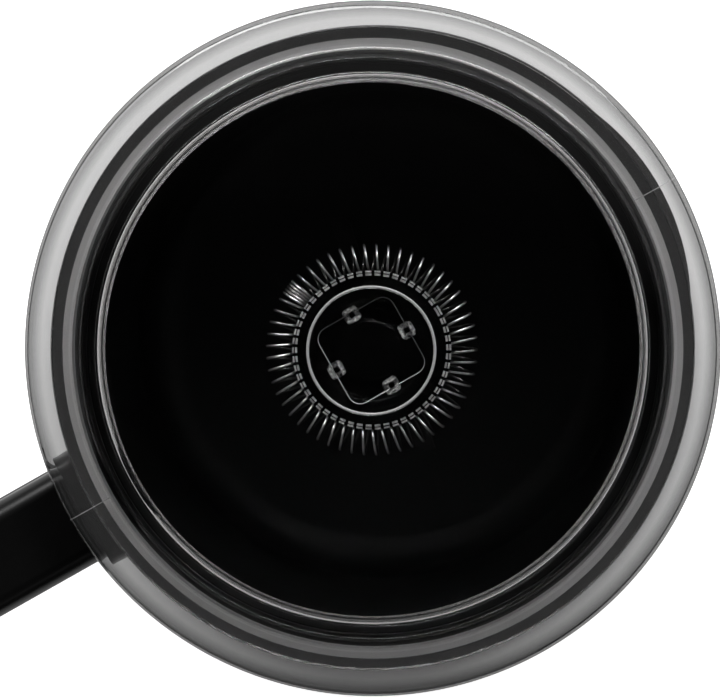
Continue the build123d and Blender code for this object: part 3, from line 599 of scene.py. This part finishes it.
def softened(corners, steps=6):
    """Outline with its corners rounded. A corner is (reach, height) or (reach, height, rounding)."""
    outline = []
    for i, corner in enumerate(corners):
        here = Vector(corner[:2])
        rounding = corner[2] if len(corner) > 2 else 0
        if not rounding:
            outline.append(here)
            continue
        back = (Vector(corners[i - 1][:2]) - here).normalized()
        ahead = (Vector(corners[(i + 1) % len(corners)][:2]) - here).normalized()
        half = back.angle(ahead) / 2
        middle = here + (back + ahead).normalized() * (rounding / math.sin(half))
        first = (here + back * (rounding / math.tan(half)) - middle).normalized()
        last = (here + ahead * (rounding / math.tan(half)) - middle).normalized()
        for k in range(steps + 1):
            outline.append(middle + first.slerp(last, k / steps) * rounding)
    return outline


def rounded_square(half, rounding):
    """Outline of a square with rounded corners."""
    corners = [(half, half), (-half, half), (-half, -half), (half, -half)]
    return softened([(*corner, rounding) for corner in corners])


def dome(crown, foot, steps):
    """Points of an arc that leaves the crown level and comes down to the foot, without its two ends."""
    run, fall = foot[0] - crown[0], crown[1] - foot[1]
    radius = (run**2 + fall**2) / (2 * fall)
    sweep = math.asin(run / radius)
    angles = [sweep * k / steps for k in range(1, steps)]
    return [(crown[0] + radius * math.sin(a), crown[1] - radius * (1 - math.cos(a))) for a in angles]


def turned(name, outline, segments):
    """Closed outline of (reach, height) points, turned round Z. Points on the axis become poles."""
    build = bmesh.new()
    rings = []
    for reach, height in outline:
        spokes = segments if reach > 0 else 1
        angles = [turn * k / spokes for k in range(spokes)]
        rings.append([build.verts.new((reach * math.cos(a), reach * math.sin(a), height)) for a in angles])
    for ring, following in zip(rings, rings[1:] + rings[:1]):
        for k in range(segments):
            places = ((ring, k), (ring, k + 1), (following, k + 1), (following, k))
            corners = list(dict.fromkeys(points[j % len(points)] for points, j in places))
            if len(corners) > 2:
                build.faces.new(corners)
    bmesh.ops.recalc_face_normals(build, faces=build.faces)
    mesh = bpy.data.meshes.new(name)
    build.to_mesh(mesh)
    build.free()
    return mesh


def frustum(lower, upper, low, high):
    """Mesh between two flat outlines of (x, y) points, one at each height."""
    build = bmesh.new()
    floor = [build.verts.new((x, y, low)) for x, y in lower]
    roof = [build.verts.new((x, y, high)) for x, y in upper]
    build.faces.new(floor)
    build.faces.new(roof)
    for i in range(len(floor)):
        build.faces.new((floor[i - 1], floor[i], roof[i], roof[i - 1]))
    bmesh.ops.recalc_face_normals(build, faces=build.faces)
    mesh = bpy.data.meshes.new("frustum")
    build.to_mesh(mesh)
    build.free()
    return mesh


def combined(piece, operation, other):
    """The piece with another mesh joined to it or cut from it."""
    tool = linked("tool", other)
    change = piece.modifiers.new("change", "BOOLEAN")
    change.operation = operation
    change.solver = "EXACT"
    change.object = tool
    bpy.context.view_layer.update()
    mesh = plain_mesh(piece, piece.name)
    bpy.data.objects.remove(tool)
    return linked(mesh.name, mesh)


def new_tree(name, sizes):
    """A Geometry Nodes tree with these inputs, a Signal for each of them and one to add nodes by."""
    tree = bpy.data.node_groups.new(name, "GeometryNodeTree")
    for size, kind in sizes.items():
        tree.interface.new_socket(size, in_out="INPUT", socket_type=kind)
    tree.interface.new_socket("Geometry", in_out="OUTPUT", socket_type="NodeSocketGeometry")
    start = tree.nodes.new("NodeGroupInput")
    signals = {size: Signal(tree, start.outputs[size]) for size in sizes}
    return tree, signals, Signal(tree)


def grown(name, tree, sizes):
    """Plain mesh that a tree makes with these sizes."""
    piece = linked(name, bpy.data.meshes.new(name))
    modifier = piece.modifiers.new(name, "NODES")
    modifier.node_group = tree
    for item in tree.interface.items_tree:
        if item.in_out == "INPUT":
            modifier[item.identifier] = sizes[item.name]
    bpy.context.view_layer.update()
    return plain_mesh(piece, name)


def closing_nodes(nodes, geometry, slot):
    """The end of every tree: real geometry in its finish."""
    real = nodes.make("GeometryNodeRealizeInstances", inputs={"Geometry": geometry})
    dressed_up = nodes.make("GeometryNodeSetMaterial", inputs={"Geometry": real, "Material": finishes[slot]})
    nodes.make("NodeGroupOutput", inputs={"Geometry": dressed_up})


# Lid and frothing whisk, which the photograph shows best


def lid_fingers():
    """Blocks set evenly on a circle: the stems, toes, pads or windows of the lid's clip fingers."""
    sizes = {
        "Count": "NodeSocketInt",
        "Circle": "NodeSocketFloat",
        "Thickness": "NodeSocketFloat",
        "Width": "NodeSocketFloat",
        "Length": "NodeSocketFloat",
        "Level": "NodeSocketFloat",
    }
    tree, size, nodes = new_tree("lid fingers", sizes)
    places = nodes.make(
        "GeometryNodeMeshCircle",
        inputs={"Vertices": size["Count"], "Radius": size["Circle"]},
    )
    block_size = nodes.make(
        "ShaderNodeCombineXYZ",
        inputs={0: size["Thickness"], 1: size["Width"], 2: size["Length"]},
    )
    block = nodes.make("GeometryNodeMeshCube", inputs={"Size": block_size})
    index = nodes.make("GeometryNodeInputIndex")
    facing = nodes.make("ShaderNodeCombineXYZ", inputs={2: index * turn / size["Count"]})
    fingers = nodes.make(
        "GeometryNodeInstanceOnPoints",
        inputs={"Points": places, "Instance": block, "Rotation": facing},
    )
    lift = nodes.make("ShaderNodeCombineXYZ", inputs={2: size["Level"]})
    raised = nodes.make("GeometryNodeTransform", inputs={"Geometry": fingers, "Translation": lift})
    closing_nodes(nodes, raised, "clear_plastic")
    return tree


def lid_outline():
    """Section of the clear lid: centre, bead, domed panel, flange with a rolled rim, skirt and underside."""
    dome_steps = 16
    rim_steps = 9
    rim_under_points = 7
    edge_run = 2.4 * mm  # how far in the rim starts to roll over
    rim_wall = 1.4 * mm
    rim_end = 0.9 * mm
    rim_face = 0.28 * mm  # width of the rim's lower end
    under_roll = 0.85  # the rim's underside rolls over a little less than its top
    rest_radius = lid_radius - 4.1 * mm  # the flange is thick as far as it rests on the collar
    corner = 1.2 * mm
    lip = 0.7 * mm
    lip_height = 1.0 * mm
    # roundings
    bead_round = bead_half * 0.98
    panel_round = 0.5 * mm
    slope_round = 0.1 * mm
    rim_round = 0.12 * mm
    rest_round = 0.2 * mm
    root_round = 0.3 * mm
    lip_round = 0.18 * mm
    skirt_round = 0.35 * mm
    crisp = 0.05 * mm
    panel_under = panel_edge - lid_wall
    bead_in, bead_out = bead_radius - bead_half, bead_radius + bead_half
    roll = [turn / 4 * k / rim_steps for k in range(rim_steps + 1)]
    rim_top = [
        (lid_radius - edge_run + edge_run * math.sin(a), lid_low + lid_edge_radius * (1 + math.cos(a)))
        for a in roll
    ]
    rim_under = [
        (reach, flange_top - rim_wall - under_roll * (flange_top - height))
        for reach, height in reversed(rim_top[:rim_under_points])
    ]
    return softened([
        (0, lid_centre),
        (bead_in, lid_centre),
        (bead_in, lid_crown.z, bead_round),
        (bead_out, lid_crown.z, bead_round),
        (bead_out, lid_centre),
        *dome((bead_out, lid_centre), (panel_radius, panel_edge), dome_steps),
        (panel_radius, panel_edge, panel_round),
        (slope_radius, flange_top, slope_round),
        *rim_top,
        (lid_radius, lid_low + rim_end, rim_round),
        (lid_radius - rim_face, lid_low + rim_end, crisp),
        *rim_under,
        (rest_radius, flange_top - rim_wall, rest_round),
        (rest_radius, lid_low, rest_round),
        (flange_root, lid_low, root_round),
        (skirt_outer, seal_seat, root_round),
        (skirt_outer, skirt_low + lip_height, lip_round),
        (skirt_outer + lip, skirt_low + lip_height, lip_round),
        (skirt_outer + lip, skirt_low, lip_round),
        (skirt_inner, skirt_low, skirt_round),
        (skirt_inner, panel_under - corner, crisp),
        (skirt_inner - corner, panel_under, crisp),
        *reversed(dome((bead_in, lid_under), (skirt_inner - corner, panel_under), dome_steps)),
        (bead_in, lid_under),
        (0, lid_under),
    ])


def lid_cover():
    """Clear lid: turned moulding, square field, clip fingers and the windows over them."""
    lid = linked("lid cover", turned("lid cover", lid_outline(), lid_segments))
    finger_length = 3.6 * mm
    finger_thickness = 1.2 * mm
    root = lid_wall / 2
    nub = 1.3 * mm
    nub_height = 0.9 * mm
    nub_inset = 0.05 * mm
    fingers = lid_fingers()
    stem = {
        "Count": clip_count,
        "Circle": clip_circle,
        "Thickness": finger_thickness,
        "Width": clip_width,
        "Length": finger_length + root,
        "Level": lid_under + root - (finger_length + root) / 2,
    }
    toe = stem | {
        "Circle": clip_circle - nub / 2,
        "Thickness": nub,
        "Width": clip_width - 2 * nub_inset,
        "Length": nub_height,
        "Level": lid_under - finger_length + nub_height / 2 + nub_inset,
    }
    window_depth = 1.1 * mm
    window = stem | {
        "Thickness": window_side,
        "Width": window_side,
        "Length": 2 * window_depth,
        "Level": lid_centre,
    }
    pad = stem | {
        "Thickness": pad_width,
        "Length": pad_height + root,
        "Level": lid_under + (root - pad_height) / 2,
    }
    field = frustum(
        rounded_square(mark_side / 2, mark_corner),
        rounded_square(mark_side / 2 + 2 * mark_slope, mark_corner + 2 * mark_slope),
        lid_centre - mark_depth,
        lid_centre + mark_depth,
    )
    lid = combined(lid, "UNION", grown("finger pads", fingers, pad))
    lid = combined(lid, "UNION", grown("finger stems", fingers, stem))
    lid = combined(lid, "UNION", grown("finger toes", fingers, toe))
    lid = combined(lid, "DIFFERENCE", field)
    lid = combined(lid, "DIFFERENCE", grown("finger windows", fingers, window))
    dressed("lid_cover_clear", shaded(plain_mesh(lid, "lid_cover_clear")), "lid_cover")


def spring_tree():
    """Closed spring: turns of wire round a ring, tight where the two ends meet and open elsewhere."""
    sizes = {
        "Ring Radius": "NodeSocketFloat",
        "Coil Radius": "NodeSocketFloat",
        "Wire Radius": "NodeSocketFloat",
        "Level": "NodeSocketFloat",
        "Start Angle": "NodeSocketFloat",
        "Tight Turns": "NodeSocketFloat",
        "Tight Pitch": "NodeSocketFloat",
        "Open Turns": "NodeSocketFloat",
        "Points per Turn": "NodeSocketInt",
    }
    tree, size, nodes = new_tree("whisk spring", sizes)
    points = (size["Tight Turns"] + size["Open Turns"]) * size["Points per Turn"]
    line = nodes.make("GeometryNodeCurvePrimitiveLine")
    even = nodes.make("GeometryNodeResampleCurve", inputs={"Curve": line, "Count": points})
    turns = nodes.make("GeometryNodeInputIndex") / size["Points per Turn"]
    tight = nodes.math("MINIMUM", turns, size["Tight Turns"])
    pitch = (turn - size["Tight Turns"] * size["Tight Pitch"]) / size["Open Turns"]
    around = size["Start Angle"] + tight * size["Tight Pitch"] + (turns - tight) * pitch
    phase = turns * turn
    lean = 0.5 / turn  # the turns close up at the ring's outside, so that their tips look pointed
    around = around + lean * pitch * nodes.math("SINE", phase)
    reach = size["Ring Radius"] - size["Coil Radius"] * nodes.math("COSINE", phase)
    place = nodes.make(
        "ShaderNodeCombineXYZ",
        inputs={
            0: reach * nodes.math("COSINE", around),
            1: reach * nodes.math("SINE", around),
            2: size["Level"] + size["Coil Radius"] * nodes.math("SINE", phase),
        },
    )
    wound = nodes.make("GeometryNodeSetPosition", inputs={"Geometry": even, "Position": place})
    closed = nodes.make("GeometryNodeSetSplineCyclic", inputs={"Geometry": wound, "Cyclic": True})
    section = nodes.make(
        "GeometryNodeCurvePrimitiveCircle",
        inputs={"Resolution": wire_sides, "Radius": size["Wire Radius"]},
    )
    wire = nodes.make("GeometryNodeCurveToMesh", inputs={"Curve": closed, "Profile Curve": section})
    closing_nodes(nodes, wire, "spring_steel")
    return tree


def whisk_spring():
    """The frothing whisk's spring at its real sizes."""
    sizes = {
        "Ring Radius": ring_radius,
        "Coil Radius": coil_radius,
        "Wire Radius": wire_radius,
        "Level": whisk_height,
        "Start Angle": join_angle - tight_turns * tight_pitch / 2,
        "Tight Turns": float(tight_turns),
        "Tight Pitch": tight_pitch,
        "Open Turns": float(open_turns),
        "Points per Turn": points_per_turn,
    }
    wire = grown("whisk_spring_wire", spring_tree(), sizes)
    dressed("whisk_spring_wire", shaded(wire), "whisk_spring")


def whisk_hub():
    """Hub of the frothing whisk: groove for the spring, well for the clips, bore and two magnet pockets."""
    top, low = hub_crown.z, hub_floor.z
    neck = 4.4 * mm
    well = 7.4 * mm
    well_floor = top - 2.7 * mm
    bore = 1.56 * mm
    bore_top = low + 3.0 * mm
    edge_round = 0.25 * mm
    well_round = 0.2 * mm
    bore_round = 0.15 * mm
    groove_steps = 20
    lip_rise = math.asin((top - whisk_height) / groove_radius)
    groove_angles = [turn / 2 - lip_rise + 2 * lip_rise * k / groove_steps for k in range(groove_steps + 1)]
    groove = [
        (ring_radius + groove_radius * math.cos(a), whisk_height + groove_radius * math.sin(a))
        for a in groove_angles
    ]
    outline = softened([
        (0, top),
        (neck, top, edge_round),
        (neck, well_floor, well_round),
        (well, well_floor, well_round),
        (well, top, edge_round),
        *groove,
        (bore, low, bore_round),
        (bore, bore_top),
        (0, bore_top),
    ])
    hub = linked("whisk hub", turned("whisk hub", outline, hub_segments))
    pocket_circle = 9.0 * mm
    pocket = 1.15 * mm
    pocket_top = low + 2.2 * mm
    pocket_start = low - mm
    pocket_outline = [(0, pocket_start), (pocket, pocket_start), (pocket, pocket_top), (0, pocket_top)]
    for angle in (turn / 8, turn * 5 / 8):
        hole = turned("pocket", pocket_outline, pocket_segments)
        hole.transform(Matrix.Translation(heading(angle) * pocket_circle))
        hub = combined(hub, "DIFFERENCE", hole)
    dressed("whisk_hub_turned", shaded(plain_mesh(hub, "whisk_hub_turned")), "whisk_hub")


# Pieces with the CAD's own shape


def patch_areas(faces):
    """For each face, the area of the flat that it lies in."""
    flat = math.radians(0.1)
    areas = {}
    for face in faces:
        if face in areas:
            continue
        areas[face] = 0.0
        patch = [face]
        for member in patch:
            for edge in member.edges:
                for other in edge.link_faces:
                    if other not in areas and face.normal.angle(other.normal, 0.0) < flat:
                        areas[other] = 0.0
                        patch.append(other)
        total = sum(member.calc_area() for member in patch)
        areas.update((member, total) for member in patch)
    return areas


def smooth_fan(face, vertex):
    """The faces round a vertex that join that face without a sharp edge between."""
    fan = [face]
    for member in fan:
        for edge in member.edges:
            if vertex in edge.verts and edge.smooth:
                fan.extend(other for other in edge.link_faces if other not in fan)
    return fan


def even_shading(mesh):
    """Shades flats flat and rounds round: at a corner, each face weighs as much as the flat it lies in."""
    build = bmesh.new()
    build.from_mesh(mesh)
    areas = patch_areas(build.faces)
    normals = []
    for face in build.faces:
        for corner in face.loops:
            fan = smooth_fan(face, corner.vert)
            normals.append(sum((areas[f] * f.normal for f in fan), Vector()).normalized())
    build.free()
    mesh.normals_split_custom_set(normals)


def smooth_copy(node):
    """A CAD node's own shape as one closed mesh, smooth where it is round."""
    weld = 0.0005 * mm
    mesh = frame["nodes"][node].data.copy()
    build = bmesh.new()
    build.from_mesh(mesh)
    bmesh.ops.remove_doubles(build, verts=build.verts, dist=weld)
    build.to_mesh(mesh)
    build.free()
    old_normals = mesh.attributes.get("custom_normal")  # these would hide the sharp edges
    if old_normals is not None:
        mesh.attributes.remove(old_normals)
    even_shading(shaded(mesh))
    dressed(node + "_smooth", mesh, node)


lid_cover()
whisk_spring()
whisk_hub()
for node in sorted(set(node_slot) - {"lid_cover", "whisk_spring", "whisk_hub"}):
    smooth_copy(node)


# Studio

up_angle = turn / 4 - handle_picture_angle  # the part's angle that points up in the picture
right_angle = -handle_picture_angle
key_angle = up_angle - math.radians(4)  # the main light, at the picture's top


def table_top():
    """White table: white to the camera, with the jug's shadow kept for what shows through the lid."""
    half = 2.5
    level = -0.02 * mm
    material, nodes = start_material("white table")
    weave = grain(object_place(nodes), 2 * mm, 4.0)
    paper = nodes.make(
        "ShaderNodeBsdfDiffuse",
        inputs={"Color": mixed_colour(weave, grey(0.80), grey(0.84))},
    )
    camera = nodes.make("ShaderNodeLightPath", output="Is Camera Ray")
    glossy = nodes.make("ShaderNodeLightPath", output="Is Glossy Ray")
    through = nodes.make("ShaderNodeLightPath", output="Is Transmission Ray")
    strength = 0.95 * camera + 0.3 * glossy * (1 - through) + 0.05 * through
    glow = nodes.make("ShaderNodeEmission", inputs={"Color": grey(1.0), "Strength": strength})
    finish_material(nodes, nodes.make("ShaderNodeAddShader", inputs={0: paper, 1: glow}))
    corners = [(-half, -half, level), (half, -half, level), (half, half, level), (-half, half, level)]
    mesh = bpy.data.meshes.new("table")
    mesh.from_pydata(corners, [], [(0, 1, 2, 3)])
    mesh.materials.append(material)
    linked("table", mesh)


def studio_world():
    """Soft room: a pale band of wall at the picture's top, dark overhead and on the other side."""
    world = bpy.data.worlds.new("studio")
    world.use_nodes = True
    world.node_tree.nodes.clear()
    nodes = Signal(world.node_tree)
    way = nodes.make("ShaderNodeTexCoord", output=0)
    rise = axes_of(way)[2]
    side = way.make(
        "ShaderNodeVectorMath",
        {"operation": "DOT_PRODUCT"},
        {0: way, 1: heading(key_angle)},
        output=1,
    )
    far_side = 0.04
    lit = nodes.math("MAXIMUM", (1.55 * side - 0.22).clamped(), far_side)
    bands = [(0.0, 0.06), (0.46, 0.04), (0.53, 1.0), (0.66, 1.0), (0.72, 0.01), (1.0, 0.005)]
    walls = rise.make("ShaderNodeValToRGB", {"stops": bands}, {0: rise})
    brightest = 5.0
    level = walls.make("ShaderNodeRGBToBW", inputs={0: walls}) * brightest * lit
    camera = nodes.make("ShaderNodeLightPath", output="Is Camera Ray")
    strength = camera + (1 - camera) * level
    backdrop = nodes.make("ShaderNodeBackground", inputs={"Color": grey(1.0), "Strength": strength})
    nodes.make("ShaderNodeOutputWorld", inputs={"Surface": backdrop})
    bpy.context.scene.world = world


def softbox(name, angle, rise, distance, width, height, watts):
    """Rectangular lamp that faces the lid."""
    lamp = bpy.data.lights.new(name, "AREA")
    lamp.shape = "RECTANGLE"
    lamp.size = width
    lamp.size_y = height
    lamp.energy = watts
    holder = linked(name, lamp)
    aim = Vector((0, 0, lid_low))
    holder.location = aim + heading(angle, rise) * distance
    holder.rotation_euler = (aim - holder.location).to_track_quat("-Z", "Y").to_euler()


def photograph_camera():
    """Camera above the lid, a little aside, with the lid's edge where the photograph has it."""
    camera = bpy.data.cameras.new("photograph")
    aim = Vector((0, 0, lid_low + lid_edge_radius))
    eye = aim + heading(camera_aside_angle) * camera_aside + Vector((0, 0, camera_distance))
    back = (eye - aim).normalized()
    right = heading(right_angle)
    right = (right - back * right.dot(back)).normalized()
    focal_pixels = lid_edge_pixels / lid_radius * (eye - aim).length
    camera.sensor_fit = "HORIZONTAL"
    camera.sensor_width = sensor_width
    camera.lens = focal_pixels * sensor_width / image_width
    camera.shift_x = (image_width / 2 - lid_edge_centre[0]) / image_width
    camera.shift_y = (lid_edge_centre[1] - image_height / 2) / image_width
    holder = linked("photograph", camera)
    turn_matrix = Matrix((right, back.cross(right), back)).transposed()
    holder.matrix_world = Matrix.Translation(eye) @ turn_matrix.to_4x4()
    bpy.context.scene.camera = holder


table_top()
studio_world()
softbox(
    "upper softbox", angle=key_angle, rise=math.radians(38),
    distance=0.9, width=1.2, height=0.25, watts=8.3,
)
photograph_camera()
bpy.context.scene.view_settings.view_transform = "Standard"

bpy.context.view_layer.update()
